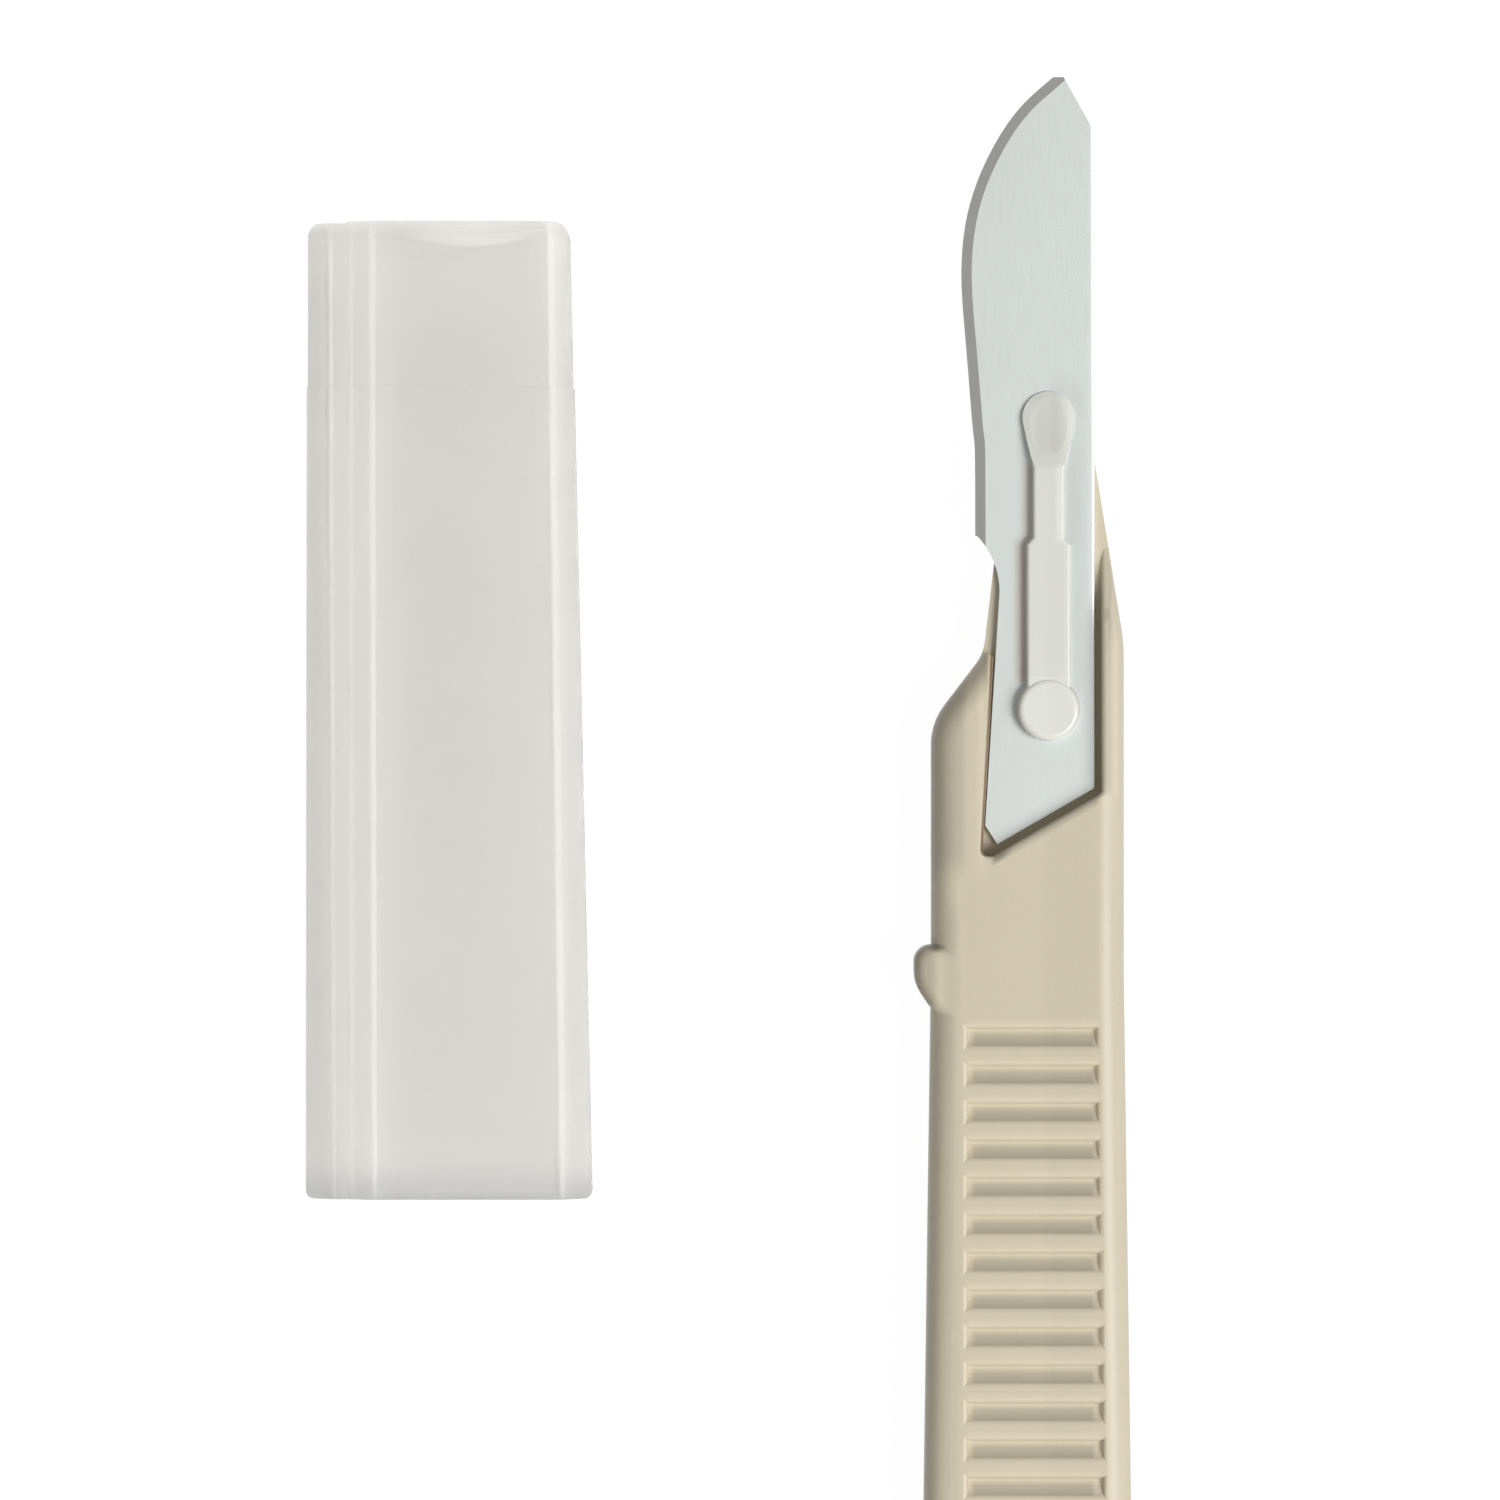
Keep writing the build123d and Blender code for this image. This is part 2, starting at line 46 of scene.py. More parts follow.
# Along the scalpel, each from how far it lies behind the blade's point: the boss's head, neck,
# shoulder and button, and the tang's pocket
HEAD, NECK, SHOULDER, BUTTON = [BLADE_HIGH.y - behind for behind in (18.2, 20.9, 24.7, 33.8)]
BUTTON_FRONT = BUTTON + 1.7
POCKET_FRONT, POCKET_REAR = [BLADE_HIGH.y - behind for behind in (29.0, 37.8)]

# Across it, from the blade's back: the middle of the slot and of the boss, the pocket's rims along the
# back, with their painted shade and highlight, and its rear rim with its painted shadow, which slants
# forward as it nears the back
BACK = BLADE_HIGH.x
SLOT = BACK - 2.52
BOSS_REACH = 1.9
BACK_RIM = BACK + 0.65
BACK_RIM_LIGHT = BACK + 1.15
REAR_RIM_LEFT = BACK - 5.4
REAR_RIM_CORNER = BACK - 5.1
REAR_RIM_AT_BACK = BLADE_HIGH.y - 38.66
REAR_RIM_SLOPE = 0.58

# The handle's body, where painted shade and highlights lie: the tang's seat and its narrow wall, the stop
# lug, the nose and the rolled sides
SEAT_DEPTH = 1.4
WALL_RIGHT = -1.0
WALL_REAR = 2.0
LUG_HALF_LENGTH = 1.7
LUG_FLANK = (-4.6, -5.3)
LUG_CORNER = (-4.85, 1.25)
NOSE = (6.5, 15.0)
NOSE_FLANK = (-3.1, -3.7)
NOSE_LIGHT = -2.5
LEFT_ROLL = -4.1
LEFT_ROLL_FRONT = 4.0
RIGHT_ROLL = 4.4
RIGHT_ROLL_FRONT = 10.0
RIGHT_ROLL_TAPER = 0.012
FLAT_SHADE = (1.5, 3.3)

# The grip's grooves
FIRST_GROOVE = 3.5
GROOVE_COUNT = 20
GROOVE_PITCH = 2.0
GROOVE_LEFT = -3.3
GROOVE_RIGHT = 3.8

# The guard's creases: the distance from its left side at the mouth, how far that distance has grown at
# the closed end, how far a crease's painted highlight spreads, and how strong its painted glow is
SIDE_CREASE = (1.57, -0.21, 0.16, 0.9)
STEP_FOOT = (2.53, -0.05, 0.16, 0.35)
STEP_TOP = (3.74, -0.16, 0.18, 0.6)
BEVEL_CREASE = (13.72, -0.66, 0.25, 1.0)
# The width of the painted shade round the mouth, the reach of the painted glow at the closed end, and the
# size and place of the painted arc near the closed end
MOUTH_BAND = 2.2
END_GLOW = (0.8, 0.1)
END_ARC_RADIUS = 15.4
END_ARC_BEHIND = 1.3
END_ARC_HALF_WIDTH = 4.2
END_ARC_LEFT = 0.4

# How much each mark lightens or darkens the plastic, the steel and the guard. All but the random cloud,
# speck, rolled, fine and flow marks, the button and the collar are painted shade and painted light
HANDLE_TONES = {
    "cloud": 0.05, "speck": 0.04,
    "button": 0.05, "head": -0.10, "head_right_highlight": 0.27, "head_dish_shade": -0.05,
    "boss_flank_shade": -0.10, "neck_light": 0.12, "body_light": 0.07,
    "groove_rim_highlight": 0.10, "groove_floor_shade": -0.22, "groove_end_light": 0.40,
    "right_flank_shade": -0.14, "lug_flank_shade": -0.28, "lug_corner_shade": -0.55,
    "nose_flank_shade": -0.19, "nose_light": 0.10, "left_roll_shade": -0.10, "right_roll_shade": -0.09, "flat": -0.03,
    "back_rim_shade": -0.26, "back_rim_light": 0.10, "rear_rim_shadow": -0.30, "rear_rim_corner_shadow": -0.30,
}
BLADE_TONES = {"cloud": 0.05, "rolled": 0.04, "fine": 0.04, "ahead_light": 0.06, "spine_highlight": 0.12, "beside": -0.12}
GUARD_TONES = {"cloud": 0.01, "flow": 0.01, "arc_inside_shade": -0.02, "arc_outside_light": 0.03, "collar": -0.015}

# The floor: how far it reaches either way in metres, and how much of it is matte and takes shadow
FLOOR_REACH = 1.5
SHADOW_SHARE = 0.1


# What the user may change

class HandleFinish(bpy.types.PropertyGroup):
    """The moulded handle's plastic."""
    body: FloatVectorProperty(
        name="Body colour", description="Colour of the moulded plastic",
        subtype="COLOR", size=3, min=0.0, max=1.0, default=(0.640, 0.572, 0.430))
    spread: FloatVectorProperty(
        name="Boss colour", description="Colour of the plastic where it was heated and spread",
        subtype="COLOR", size=3, min=0.0, max=1.0, default=(0.745, 0.750, 0.690))
    # The pocket shade is painted shade on the narrow wall, not the plastic's own colour
    shade: FloatVectorProperty(
        name="Pocket shade", description="Colour of the narrow wall beside the blade's tang",
        subtype="COLOR", size=3, min=0.0, max=1.0, default=(0.200, 0.130, 0.070))
    gloss: FloatProperty(
        name="Roughness", description="Roughness of the moulded skin",
        subtype="FACTOR", min=0.0, max=1.0, default=0.42)
    grain: FloatProperty(
        name="Grain", description="Size of the mould's fine grain in millimetres",
        min=0.02, max=2.0, default=0.16)


class BladeFinish(bpy.types.PropertyGroup):
    """The blade's steel."""
    steel: FloatVectorProperty(
        name="Steel colour", description="Colour of the satin faces",
        subtype="COLOR", size=3, min=0.0, max=1.0, default=(0.785, 0.825, 0.800))
    ground: FloatVectorProperty(
        name="Ground colour", description="Colour of the ground cutting edge",
        subtype="COLOR", size=3, min=0.0, max=1.0, default=(0.790, 0.790, 0.775))
    # The warm shade is a painted shadow on the steel left of the boss, tinted by it
    warm: FloatVectorProperty(
        name="Warm shade", description="Colour that the steel takes from the boss beside it",
        subtype="COLOR", size=3, min=0.0, max=1.0, default=(0.730, 0.660, 0.590))
    satin: FloatProperty(
        name="Roughness", description="Roughness of the satin faces",
        subtype="FACTOR", min=0.0, max=1.0, default=0.50)
    grinding: FloatProperty(
        name="Grinding marks", description="Spacing of the grinding marks in millimetres",
        min=0.01, max=1.0, default=0.06)


class GuardFinish(bpy.types.PropertyGroup):
    """The guard's milky plastic."""
    milk: FloatVectorProperty(
        name="Milky colour", description="Colour that the translucent plastic gives to light",
        subtype="COLOR", size=3, min=0.0, max=1.0, default=(0.895, 0.884, 0.857))
    # The crease colour is a painted highlight along the creases
    crease: FloatVectorProperty(
        name="Crease colour", description="Colour along the creases, where the wall thins",
        subtype="COLOR", size=3, min=0.0, max=1.0, default=(1.0, 0.990, 0.960))
    # The crease glow is painted light: an emission along the creases and at the closed end
    glow: FloatVectorProperty(
        name="Crease glow", description="Light that the translucent wall carries to its creases",
        subtype="COLOR", size=3, min=0.0, max=1.0, default=(0.085, 0.084, 0.080))
    # The mouth colour is painted shade on the lead-in round the mouth
    mouth: FloatVectorProperty(
        name="Mouth colour", description="Colour of the lead-in round the mouth",
        subtype="COLOR", size=3, min=0.0, max=1.0, default=(0.735, 0.735, 0.740))
    clear: FloatProperty(
        name="Clear share", description="Share of the light that passes through each skin",
        subtype="FACTOR", min=0.0, max=1.0, default=0.93)
    gloss: FloatProperty(
        name="Roughness", description="Roughness of the guard's skin",
        subtype="FACTOR", min=0.0, max=1.0, default=0.58)


class StageSettings(bpy.types.PropertyGroup):
    """The floor, the lights and the camera."""
    floor_light: FloatProperty(
        name="Floor brightness", description="Brightness of the pale floor",
        min=0.0, max=2.0, default=1.07)
    sky: FloatProperty(
        name="Fill light", description="Strength of the even light from all round",
        min=0.0, max=5.0, default=0.30)
    key: FloatProperty(
        name="Key light", description="Power of the large soft light",
        unit="POWER", min=0.0, default=3.5)
    key_height: FloatProperty(
        name="Key elevation", description="Elevation of the key light above the floor",
        subtype="ANGLE", min=0.0, max=math.pi / 2, default=math.radians(47))
    key_turn: FloatProperty(
        name="Key direction", description="Direction of the key light, turned from the blade's back",
        subtype="ANGLE", min=-math.pi, max=math.pi, default=math.radians(-22))
    key_distance: FloatProperty(
        name="Key distance", description="Distance from the scalpel to the key light",
        unit="LENGTH", min=0.1, default=0.60)
    key_size: FloatProperty(
        name="Key size", description="Width of the key light's panel",
        unit="LENGTH", min=0.01, default=0.34)
    lens: FloatProperty(
        name="Lens", description="Focal length of the camera in millimetres",
        unit="CAMERA", min=20.0, max=1000.0, default=300.0)
    view_width: FloatProperty(
        name="View width", description="Width of the picture at the height of the blade",
        unit="LENGTH", min=0.01, default=0.08017)
    view_left: FloatProperty(
        name="View left", description="How far the middle of the picture lies left of the blade's back",
        unit="LENGTH", default=0.01848)
    view_behind: FloatProperty(
        name="View behind", description="How far the middle of the picture lies behind the blade's point",
        unit="LENGTH", default=0.03597)


# Shader maths

class Wire:
    """An output of a shader node, so that maths on its value is written as a plain expression."""

    def __init__(self, graph, node, output=0):
        self.graph = graph
        self.node = node
        self.socket = node.outputs[output]

    def maths(self, operation, *values):
        """A Math node on this value and others."""
        return self.graph.add("ShaderNodeMath", {"operation": operation}, [self, *values])

    def __add__(self, other):
        return self.maths("ADD", other)

    def __sub__(self, other):
        return self.maths("SUBTRACT", other)

    def __mul__(self, other):
        return self.maths("MULTIPLY", other)

    def __radd__(self, other):
        return self.maths("ADD", other)

    def __rsub__(self, other):
        return self.graph.add("ShaderNodeMath", {"operation": "SUBTRACT"}, [other, self])

    def __rmul__(self, other):
        return self.maths("MULTIPLY", other)

    def __abs__(self):
        return self.maths("ABSOLUTE")

    def rises(self, start, end):
        """A smooth step from 0 at start to 1 at end. It falls where end lies below start."""
        falls = end < start
        inputs = {"Value": self, "From Min": min(start, end), "From Max": max(start, end),
                  "To Min": float(falls), "To Max": float(not falls)}
        return self.graph.add("ShaderNodeMapRange", {"interpolation_type": "SMOOTHSTEP"}, inputs)

    def within(self, start, end, edge):
        """1 between two places, falling smoothly to 0 outside them."""
        return self.rises(start - edge, start) * self.rises(end + edge, end)

    def line(self, place, width):
        """1 along a place, falling smoothly to 0 at a width either side."""
        return abs(self - place).rises(width, 0.0)

    def axes(self):
        """A vector's X, Y and Z."""
        apart = self.graph.add("ShaderNodeSeparateXYZ", inputs=[self])
        return [Wire(self.graph, apart.node, axis) for axis in range(3)]

    def times(self, factor):
        """A colour or a vector with each of its parts multiplied by a value."""
        inputs = {"Vector": self, "Scale": factor}
        return self.graph.add("ShaderNodeVectorMath", {"operation": "SCALE"}, inputs)


class Graph:
    """A new material's node tree, built from expressions."""

    def __init__(self, name):
        self.material = bpy.data.materials.new(name)
        self.material.use_nodes = True
        self.tree = self.material.node_tree
        self.tree.nodes.clear()

    def add(self, kind, settings=None, inputs=None, output=0):
        """Adds a node: its settings first, then its sockets. Returns one of its outputs."""
        node = self.tree.nodes.new(kind)
        for name, value in (settings or {}).items():
            setattr(node, name, value)
        pairs = inputs.items() if isinstance(inputs, dict) else enumerate(inputs or [])
        for key, value in pairs:
            if isinstance(value, Wire):
                self.tree.links.new(value.socket, node.inputs[key])
            else:
                node.inputs[key].default_value = value
        return Wire(self, node, output) if node.outputs else None

    def mix(self, share, first, second):
        """A mix of two colours."""
        colours = [c if isinstance(c, Wire) else (*c, 1.0) for c in (first, second)]
        inputs = {0: share, 6: colours[0], 7: colours[1]}
        return self.add("ShaderNodeMix", {"data_type": "RGBA"}, inputs, output=2)

    def place(self):
        """The place on the piece in millimetres, as a vector."""
        return self.add("ShaderNodeTexCoord", output="Object").times(1 / MM)

    def facing(self):
        """The way the surface faces, as X, Y and Z."""
        return self.add("ShaderNodeTexCoord", output="Normal").axes()

    def noise(self, place, size, detail=2.0, stretch=(1.0, 1.0, 1.0)):
        """Smooth noise from 0 to 1 with features of about this size in millimetres."""
        scale = tuple(s / size for s in stretch)
        scaled = self.add("ShaderNodeVectorMath", {"operation": "MULTIPLY"}, [place, scale])
        inputs = {"Vector": scaled, "Scale": 1.0, "Detail": detail}
        return self.add("ShaderNodeTexNoise", {"noise_dimensions": "3D"}, inputs)

    def bump(self, height, depth, strength=0.5):
        """A bump from a height of 0 to 1 that is this deep in millimetres."""
        inputs = {"Strength": strength, "Distance": depth * MM, "Height": height}
        return self.add("ShaderNodeBump", inputs=inputs)

    def tone(self, start, strengths, marks):
        """A start plus each mark times the strength that is kept under its name."""
        total = start
        for name, strength in strengths.items():
            total = total + strength * marks[name]
        return total

    def finish(self, inputs):
        """Ends the material in a Principled shader with these sockets."""
        shader = self.add("ShaderNodeBsdfPrincipled", inputs=inputs)
        self.add("ShaderNodeOutputMaterial", inputs={"Surface": shader})
        return self.material


def use_only(node, material):
    """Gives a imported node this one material."""
    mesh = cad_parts[node].data
    mesh.materials.clear()
    mesh.materials.append(material)


# Materials

def boss_marks(boss, x, y, right):
    """Where the boss's tones lie: painted shade on its spoon-shaped head, its dish and its right flank,
    painted highlights on the head's right side, the neck and the body, and a lighter button.
    """
    head = boss * y.rises(NECK - 1.0, HEAD - 0.5)
    neck = boss * y.within(SHOULDER, NECK, 0.3)
    body = boss * y.within(BUTTON_FRONT, SHOULDER - 0.3, 0.3)
    return {
        "button": boss * y.rises(BUTTON_FRONT + 0.1, BUTTON_FRONT),
        "head": head,
        "head_right_highlight": head * x.rises(SLOT + 0.2, SLOT + 1.3),
        "head_dish_shade": head * x.line(SLOT - 0.5, 0.5),
        "boss_flank_shade": boss * right.rises(0.2, 0.7),
        "neck_light": neck * x.line(SLOT + 0.6, 0.4),
        "body_light": body * x.line(SLOT + 1.05, 0.4),
    }


def groove_marks(x, y, right):
    """Painted highlight on each groove's rim in front, painted shade on its floor, darkening towards the
    rear, and painted light on its right end wall.
    """
    front = GROOVE_PITCH / 2 - FIRST_GROOVE
    ribbed = y.within(front - GROOVE_COUNT * GROOVE_PITCH, front, 0.02)
    phase = (front - y).maths("MODULO", GROOVE_PITCH) - GROOVE_PITCH / 2
    rim = x.within(GROOVE_LEFT + 0.2, GROOVE_RIGHT - 0.1, 0.3) * phase.line(-0.6, 0.5)
    floor = (x.within(GROOVE_LEFT + 0.5, GROOVE_RIGHT - 0.45, 0.3)
             * phase.rises(-0.42, 0.0) * phase.rises(0.54, 0.42))
    end_wall = x.within(GROOVE_RIGHT - 0.6, GROOVE_RIGHT + 0.1, 0.1) * right.rises(-0.1, -0.5)
    return {"groove_rim_highlight": ribbed * rim, "groove_floor_shade": ribbed * floor, "groove_end_light": ribbed * end_wall}


def body_marks(x, y, z, right):
    """Where painted shade and highlights lie on the handle's body: its right-facing flanks, rolled sides,
    lug, nose, a strip of its flat top and the pocket's rims, with a painted shadow along the rear rim.
    """
    nose = y.within(*NOSE, 2.0)
    upper = z.rises(HANDLE_TOP - 0.6, HANDLE_TOP - 0.3)
    along_back = upper * y.within(POCKET_REAR, POCKET_FRONT, 1.0)
    slant = y - REAR_RIM_SLOPE * (x - BACK)
    rear_rim_shadow = upper * slant.line(REAR_RIM_AT_BACK, 0.42) * x.within(REAR_RIM_LEFT, BACK, 0.3)
    return {
        "right_flank_shade": right.rises(0.1, 0.9),
        "lug_flank_shade": y.within(-LUG_HALF_LENGTH, LUG_HALF_LENGTH, 0.4) * x.rises(*LUG_FLANK),
        "lug_corner_shade": x.line(LUG_CORNER[0], 0.6) * y.line(LUG_CORNER[1], 0.32),
        "nose_flank_shade": nose * x.rises(*NOSE_FLANK),
        "nose_light": nose * x.line(NOSE_LIGHT, 0.4),
        "left_roll_shade": y.rises(LEFT_ROLL_FRONT, LEFT_ROLL_FRONT - 1.5) * x.line(LEFT_ROLL, 0.7),
        "right_roll_shade": (y.rises(RIGHT_ROLL_FRONT, RIGHT_ROLL_FRONT - 2.0)
                       * (x + RIGHT_ROLL_TAPER * y).line(RIGHT_ROLL, 0.4)),
        "flat": x.within(*FLAT_SHADE, 1.0),
        "back_rim_shade": along_back * x.line(BACK_RIM, 0.3),
        "back_rim_light": along_back * x.line(BACK_RIM_LIGHT, 0.3),
        "rear_rim_shadow": rear_rim_shadow,
        "rear_rim_corner_shadow": rear_rim_shadow * x.line(REAR_RIM_CORNER, 0.7),
    }


def handle_plastic(look):
    """Warm beige moulded plastic with a fine grain, a faint seam and a paler spread boss, and with
    painted shade and highlights on the boss, the grooves and the body.
    """
    graph = Graph("moulded_handle_plastic")
    place = graph.place()
    x, y, z = place.axes()
    right = graph.facing()[0]
    boss = (z.rises(BLADE_HIGH.z - 0.02, BLADE_HIGH.z + 0.02)
            * x.within(SLOT - BOSS_REACH, SLOT + BOSS_REACH, 0.05)
            * y.within(BUTTON - BOSS_REACH, HEAD + BOSS_REACH, 0.1))

    # The pocket's narrow wall along the tang's cutting side gets painted shade: a dark brown colour mixed
    # over it
    seat = HANDLE_TOP - SEAT_DEPTH
    wall = (right.rises(0.05, 0.5) * x.rises(WALL_RIGHT + 0.1, WALL_RIGHT - 0.1)
            * y.rises(WALL_REAR, WALL_REAR + 1.0) * z.rises(seat - 0.1, seat))
    cloud = graph.noise(place, 9.0)
    speck = graph.noise(place, look.grain)
    marks = {"cloud": cloud, "speck": speck, **boss_marks(boss, x, y, right),
             **groove_marks(x, y, right), **body_marks(x, y, z, right)}
    tone = graph.tone(0.955, HANDLE_TONES, marks)
    base = graph.mix(boss, look.body, look.spread).times(tone)
    seam = z.line(HANDLE_TOP / 2, 0.06)
    return graph.finish({
        "Base Color": graph.mix(wall, base, look.shade),
        "Roughness": look.gloss + 0.08 * (cloud - 0.5) - 0.06 * boss, "IOR": 1.5,
        "Normal": graph.bump(speck * 0.6 + seam, 0.02),
        "Subsurface Weight": 0.06, "Subsurface Radius": (1.0, 0.8, 0.5), "Subsurface Scale": 0.0008,
    })


def blade_steel(look):
    """Satin carbon steel, with a darker ground edge whose marks run across it, a painted highlight along
    its back, painted light growing towards the point and painted shade round the boss.
    """
    graph = Graph("satin_blade_steel")
    place = graph.place()
    x, y, _ = place.axes()
    tilt = abs(graph.facing()[2])
    ground = tilt.rises(0.985, 0.965) * tilt.rises(0.6, 0.8)
    fine = graph.noise(place, 0.10, detail=3.0)
    rolled = graph.noise(place, 0.5, detail=4.0, stretch=(4.0, 0.25, 1.0))
    grinding = graph.noise(place, look.grinding, detail=1.0, stretch=(0.05, 1.0, 1.0))

    # Painted shade darkens the steel right of the boss, and a painted shadow in a warm colour lies on its
    # left
    neck = y.within(SHOULDER, NECK, 0.5)
    body = y.within(BUTTON_FRONT, SHOULDER - 0.5, 0.5)
    warm = 0.7 * neck * x.line(SLOT - 1.1, 0.5) + body * x.line(SLOT - 1.45, 0.55)
    marks = {
        "cloud": graph.noise(place, 6.0), "rolled": rolled, "fine": fine,
        "ahead_light": (y - BLADE_LOW.y) * (1 / (BLADE_HIGH.y - BLADE_LOW.y)),
        "spine_highlight": x.rises(BACK - 0.5, BACK - 0.1),
        "beside": (x.rises(SLOT, SLOT + 0.2) * x.rises(SLOT + 2.4, SLOT + 1.2)
                   * y.within(BUTTON_FRONT, HEAD, 3.0)),
    }
    steel = graph.mix(warm, graph.mix(ground, look.steel, look.ground), look.warm)
    return graph.finish({
        "Base Color": steel.times(graph.tone(0.925, BLADE_TONES, marks)),
        "Metallic": 0.92, "Roughness": look.satin + 0.06 * (rolled - 0.5) - 0.08 * ground,
        "Normal": graph.bump(fine * (1.0 - ground) + grinding * ground, 0.006),
    })


def guard_plastic(look):
    """Milky translucent plastic with faint flow lines, painted highlights and a painted glow along its
    creases, painted light on the strips between them and painted shade round its mouth.
    """
    graph = Graph("milky_guard_plastic")
    place = graph.place()
    x, y, _ = place.axes()
    share = (y - GUARD_LOW.y) * (1 / (GUARD_HIGH.y - GUARD_LOW.y))
    foot, top, right = [GUARD_LOW.x + crease[0] for crease in (STEP_FOOT, STEP_TOP, BEVEL_CREASE)]

    # Painted highlights along the creases, a painted glow there and at the closed end, and painted light
    # on the strips between them
    creases = 0.0
    glow = y.rises(GUARD_HIGH.y - END_GLOW[0], GUARD_HIGH.y - END_GLOW[1])
    for start, drift, width, strength in (SIDE_CREASE, STEP_FOOT, STEP_TOP, BEVEL_CREASE):
        crease = (x - share * drift).line(GUARD_LOW.x + start, width)
        creases = creases + crease
        glow = glow + crease * strength
    step = 0.45 * x.within(foot, top, 0.1) + 0.2 * x.within(top, top + 0.8, 0.5)
    low_side = 0.15 * x.rises(foot, foot - 0.1)
    bevel = 0.44 * (x - share * BEVEL_CREASE[1]).rises(right - 0.3, right)
    light = (creases + step + low_side + bevel).maths("MINIMUM", 1.0)

    # A faint arc near the closed end, painted darker on its inner side and lighter on its outer side, and
    # painted shade on the mouth's lead-in
    middle = (GUARD_LOW.x + GUARD_HIGH.x) / 2 - END_ARC_LEFT
    centre = (middle, GUARD_HIGH.y - END_ARC_BEHIND + END_ARC_RADIUS, 0.0)
    flat = graph.add("ShaderNodeVectorMath", {"operation": "MULTIPLY"}, [place, (1.0, 1.0, 0.0)])
    apart = graph.add("ShaderNodeVectorMath", {"operation": "DISTANCE"}, [flat, centre], output=1)
    reach = END_ARC_HALF_WIDTH / 2
    near = x.within(middle - reach, middle + reach, reach)
    mouth = y.rises(GUARD_LOW.y + MOUTH_BAND, GUARD_LOW.y)
    flow = graph.noise(place, 3.0, stretch=(1.0, 0.15, 1.0))
    marks = {
        "cloud": graph.noise(place, 7.0), "flow": flow,
        "arc_inside_shade": near * apart.line(END_ARC_RADIUS - 0.15, 0.2),
        "arc_outside_light": near * apart.line(END_ARC_RADIUS + 0.15, 0.2),
        "collar": y.line(GUARD_HIGH.y - 7.0, 5.0),
    }
    milk = graph.mix(mouth, graph.mix(light, look.milk, look.crease), look.mouth)

    # The glow is too faint to light anything, so the guard isn't sampled as a lamp
    graph.material.cycles.emission_sampling = "NONE"
    return graph.finish({
        "Base Color": milk.times(graph.tone(0.985, GUARD_TONES, marks)),
        "Roughness": look.gloss + 0.06 * (flow - 0.5) - 0.25 * step + 0.18 * bevel + 0.15 * creases,
        "IOR": 1.49,
        "Transmission Weight": look.clear,
        "Subsurface Weight": 0.35, "Subsurface Radius": (1.0, 0.95, 0.85), "Subsurface Scale": 0.0015,
        "Emission Color": graph.mix(glow, (0.0, 0.0, 0.0), look.glow), "Emission Strength": 1.0,
        "Normal": graph.bump(flow, 0.02, 0.3),
    })


def floor_finish(look):
    """A pale, even floor that keeps a trace of shadow."""
    graph = Graph("pale_floor")
    glow = graph.add("ShaderNodeEmission", inputs={"Color": (1.0, 1.0, 1.0, 1.0),
                                                   "Strength": look.floor_light})
    matte = graph.add("ShaderNodeBsdfDiffuse", inputs={"Color": (0.95, 0.95, 0.95, 1.0)})
    both = graph.add("ShaderNodeMixShader", inputs=[SHADOW_SHARE, glow, matte])
    graph.add("ShaderNodeOutputMaterial", inputs={"Surface": both})
    return graph.material


# Stage

def lay_floor(scene, look):
    """A wide pale floor, just clear of the underside of the pieces."""
    level = -0.02 * MM
    mesh = bpy.data.meshes.new("floor")
    ways = [(-1, -1), (1, -1), (1, 1), (-1, 1)]
    mesh.from_pydata([(FLOOR_REACH * x, FLOOR_REACH * y, level) for x, y in ways], [], [(0, 1, 2, 3)])
    mesh.materials.append(floor_finish(look))
    floor = bpy.data.objects.new("floor", mesh)
    floor.visible_diffuse = False
    scene.collection.objects.link(floor)


def place_camera(scene, look, middle):
    """A camera far above, that looks straight down on the middle of the picture."""
    data = bpy.data.cameras.new("camera")
    data.lens = look.lens
    distance = look.view_width * look.lens / data.sensor_width
    data.clip_start = distance / 100
    data.clip_end = distance * 100
    camera = bpy.data.objects.new("camera", data)
    camera.location = middle + Vector((0.0, 0.0, distance))
    scene.collection.objects.link(camera)
    scene.camera = camera


def place_key_light(scene, look, middle):
    """A large soft panel that faces the scalpel."""
    data = bpy.data.lights.new("key_light", "AREA")
    data.size = look.key_size
    data.energy = look.key
    way = Vector((math.cos(look.key_turn) * math.cos(look.key_height),
                  math.sin(look.key_turn) * math.cos(look.key_height),
                  math.sin(look.key_height)))
    key = bpy.data.objects.new("key_light", data)
    key.location = middle + way * look.key_distance
    key.rotation_mode = "QUATERNION"
    key.rotation_quaternion = way.to_track_quat("Z", "Y")
    scene.collection.objects.link(key)


def light_all_round(scene, look):
    """An even white light from all round."""
    world = bpy.data.worlds.new("studio")
    world.use_nodes = True
    background = world.node_tree.nodes["Background"]
    background.inputs["Color"].default_value = (1.0, 1.0, 1.0, 1.0)
    background.inputs["Strength"].default_value = look.sky
    scene.world = world


# Operators

class FinishHandle(bpy.types.Operator):
    """Gives the handle its moulded plastic"""
    bl_idname = "scalpel.finish_handle"
    bl_label = "Finish the handle"

    def execute(self, context):
        use_only("handle", handle_plastic(context.scene.scalpel_handle))
        return {"FINISHED"}


class FinishBlade(bpy.types.Operator):
    """Gives the blade its satin steel and ground edge"""
    bl_idname = "scalpel.finish_blade"
    bl_label = "Finish the blade"

    def execute(self, context):
        use_only("blade", blade_steel(context.scene.scalpel_blade))
        return {"FINISHED"}


class FinishGuard(bpy.types.Operator):
    """Gives the guard its milky plastic"""
    bl_idname = "scalpel.finish_guard"
    bl_label = "Finish the blade guard"

    def execute(self, context):
        use_only("blade_guard", guard_plastic(context.scene.scalpel_guard))
        return {"FINISHED"}


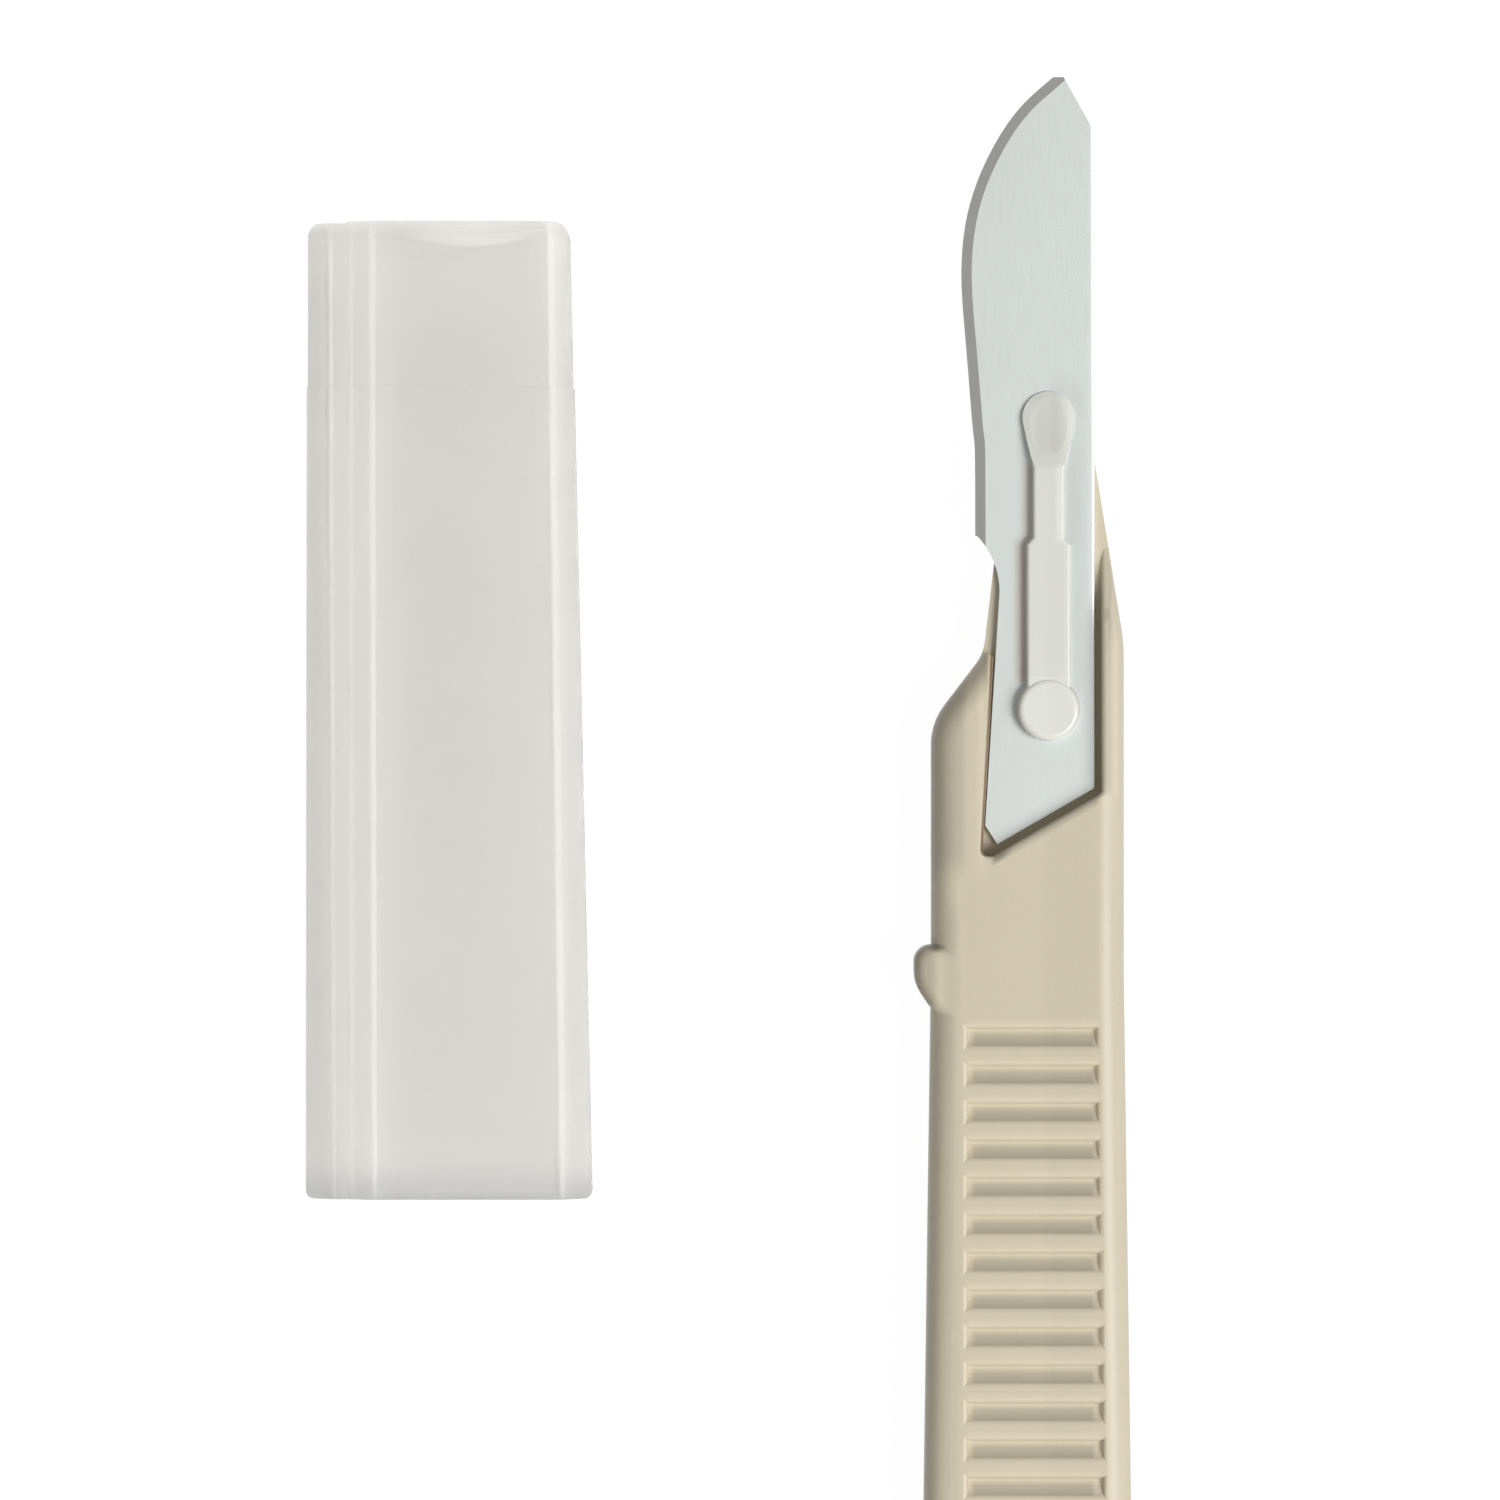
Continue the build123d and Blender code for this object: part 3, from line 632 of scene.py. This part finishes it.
class SetStage(bpy.types.Operator):
    """Lays the floor, and sets the lights and the camera"""
    bl_idname = "scalpel.set_stage"
    bl_label = "Set the stage"

    def execute(self, context):
        scene = context.scene
        look = scene.scalpel_stage
        middle = BLADE_HIGH * MM - Vector((look.view_left, look.view_behind, 0.0))
        lay_floor(scene, look)
        place_camera(scene, look, middle)
        place_key_light(scene, look, middle)
        light_all_round(scene, look)
        scene.view_settings.view_transform = "Standard"
        scene.view_settings.look = "None"
        return {"FINISHED"}


class ScalpelPanel(bpy.types.Panel):
    """Lists the scalpel's pieces and its stage"""
    bl_idname = "VIEW3D_PT_scalpel"
    bl_label = "Scalpel"
    bl_space_type = "VIEW_3D"
    bl_region_type = "UI"
    bl_category = "Scalpel"

    def draw(self, context):
        for operator, holder in STEPS:
            box = self.layout.box()
            box.operator(operator.bl_idname)
            settings = getattr(context.scene, holder)
            for name in settings.__annotations__:
                box.prop(settings, name)


STEPS = [
    (FinishHandle, "scalpel_handle"),
    (FinishBlade, "scalpel_blade"),
    (FinishGuard, "scalpel_guard"),
    (SetStage, "scalpel_stage"),
]
SETTINGS = {
    "scalpel_handle": HandleFinish,
    "scalpel_blade": BladeFinish,
    "scalpel_guard": GuardFinish,
    "scalpel_stage": StageSettings,
}


def register():
    """Registers the settings, the operators and the panel."""
    for holder, group in SETTINGS.items():
        bpy.utils.register_class(group)
        setattr(bpy.types.Scene, holder, PointerProperty(type=group))
    for operator, _ in STEPS:
        bpy.utils.register_class(operator)
    bpy.utils.register_class(ScalpelPanel)


def unregister():
    """Takes everything out again, last in first out."""
    bpy.utils.unregister_class(ScalpelPanel)
    for operator, _ in reversed(STEPS):
        bpy.utils.unregister_class(operator)
    for holder, group in reversed(SETTINGS.items()):
        delattr(bpy.types.Scene, holder)
        bpy.utils.unregister_class(group)


def main():
    """Makes the whole scene: registers the settings and steps, finishes the three pieces and sets the
    stage.
    """
    register()
    bpy.ops.scalpel.finish_handle()
    bpy.ops.scalpel.finish_blade()
    bpy.ops.scalpel.finish_guard()
    bpy.ops.scalpel.set_stage()


if __name__ == "__main__":
    main()
